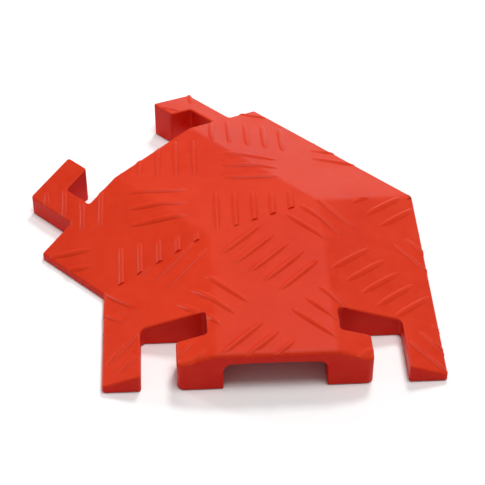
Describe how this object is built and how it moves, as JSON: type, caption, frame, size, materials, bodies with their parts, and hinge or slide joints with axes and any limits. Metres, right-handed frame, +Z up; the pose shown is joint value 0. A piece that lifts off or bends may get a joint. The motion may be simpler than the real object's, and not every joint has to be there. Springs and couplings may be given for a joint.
{
  "type": "cable ramp corner section",
  "caption": "Left-turn corner section of a drop-over ramp, with a bent channel, tread bars, hooks, sockets and rubber pads.",
  "frame": {"origin": "on the floor, under the middle of the section's box", "axes": "+Z up; +Y from the socket end along the front half, away from the joint face; +X to the right, on the outer side of the bend"},
  "size_m": [0.3462, 0.3722, 0.0403],
  "materials": {
    "moulding": "semi-gloss moulded polyurethane with a fine mould grain",
    "pad_rubber": "matt black rubber"
  },
  "bodies": {
    "root": {"ramp_body": "moulding", "pad_leg_left": "pad_rubber", "pad_leg_right": "pad_rubber", "pad_nose_left": "pad_rubber", "pad_nose_right": "pad_rubber", "pad_inner_front": "pad_rubber", "pad_inner_rear": "pad_rubber", "pad_outer_front": "pad_rubber", "pad_outer_middle": "pad_rubber", "pad_outer_corner": "pad_rubber", "pad_outer_rear": "pad_rubber", "pad_outer_end": "pad_rubber"}
  },
  "joints": []
}
